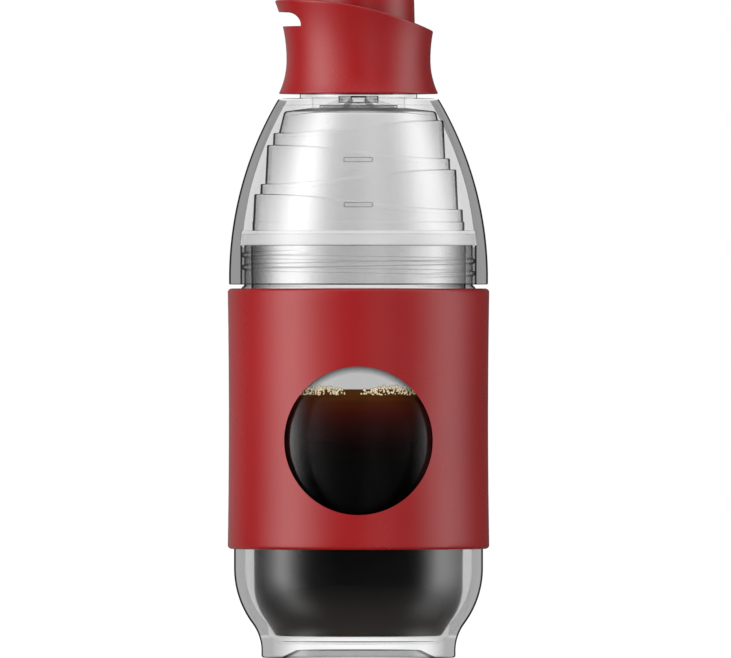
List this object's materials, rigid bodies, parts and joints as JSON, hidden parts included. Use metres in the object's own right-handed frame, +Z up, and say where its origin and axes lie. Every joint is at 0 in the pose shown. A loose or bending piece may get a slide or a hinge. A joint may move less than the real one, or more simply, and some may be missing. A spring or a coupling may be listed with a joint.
{
  "type": "travel coffee brewer bottle",
  "caption": "Clear double-walled flask with a red windowed grip sleeve, a screw-on dripper dome with a stepped cone inside, and a flared cap with a hinged drinking lid.",
  "frame": {"origin": "centre of the foot ring, on the surface the bottle stands on", "axes": "+Z up along the bottle's axis, -Y to the front window and the level bars, +X to the low side of the cap's rim, with the lid's hinge and the carry slot on -X"},
  "size_m": [0.0784, 0.0784, 0.1985],
  "materials": {
    "clear_outer": "clear, polished",
    "clear_inner": "clear, polished",
    "red_satin": "satin, moulded-in colour",
    "silicone": "milky translucent silicone",
    "pin_steel": "drawn stainless pin"
  },
  "bodies": {
    "flask": {"flask_outer_shell": "clear_outer", "flask_inner_vessel": "clear_inner", "grip_sleeve": "red_satin"},
    "seal": {"shoulder_seal": "silicone"},
    "dripper": {"dripper_shell": "clear_outer", "dripper_cone": "clear_inner", "drip_spider": "clear_inner"},
    "gasket": {"cap_gasket": "silicone"},
    "cap": {"cap_body": "red_satin", "drinking_spout": "red_satin", "lid_hinge_pin": "pin_steel"},
    "lid": {"flip_lid": "red_satin", "spout_pad": "silicone"}
  },
  "joints": [
    {"name": "seal_lift", "type": "slide", "parent": "flask", "child": "seal", "axis": [0, 0, 1], "range_m": [0, 0.007]},
    {"name": "dripper_turn", "type": "hinge", "parent": "seal", "child": "dripper", "pos_m": [0, 0, 0.12705], "axis": [0, 0, 1], "range_deg": [0, 720]},
    {"name": "gasket_lift", "type": "slide", "parent": "dripper", "child": "gasket", "axis": [0, 0, 1], "range_m": [0, 0.007]},
    {"name": "cap_turn", "type": "hinge", "parent": "gasket", "child": "cap", "pos_m": [0, 0, 0.1806], "axis": [0, 0, 1], "range_deg": [0, 720]},
    {"name": "lid_flip", "type": "hinge", "parent": "cap", "child": "lid", "pos_m": [-0.0203, 0, 0.1955], "axis": [0, -1, 0], "range_deg": [0, 110]}
  ],
  "couplings": [
    {"joint": "seal_lift", "follows": "dripper_turn", "m_per_rad": 0.000557},
    {"joint": "gasket_lift", "follows": "cap_turn", "m_per_rad": 0.000557}
  ]
}
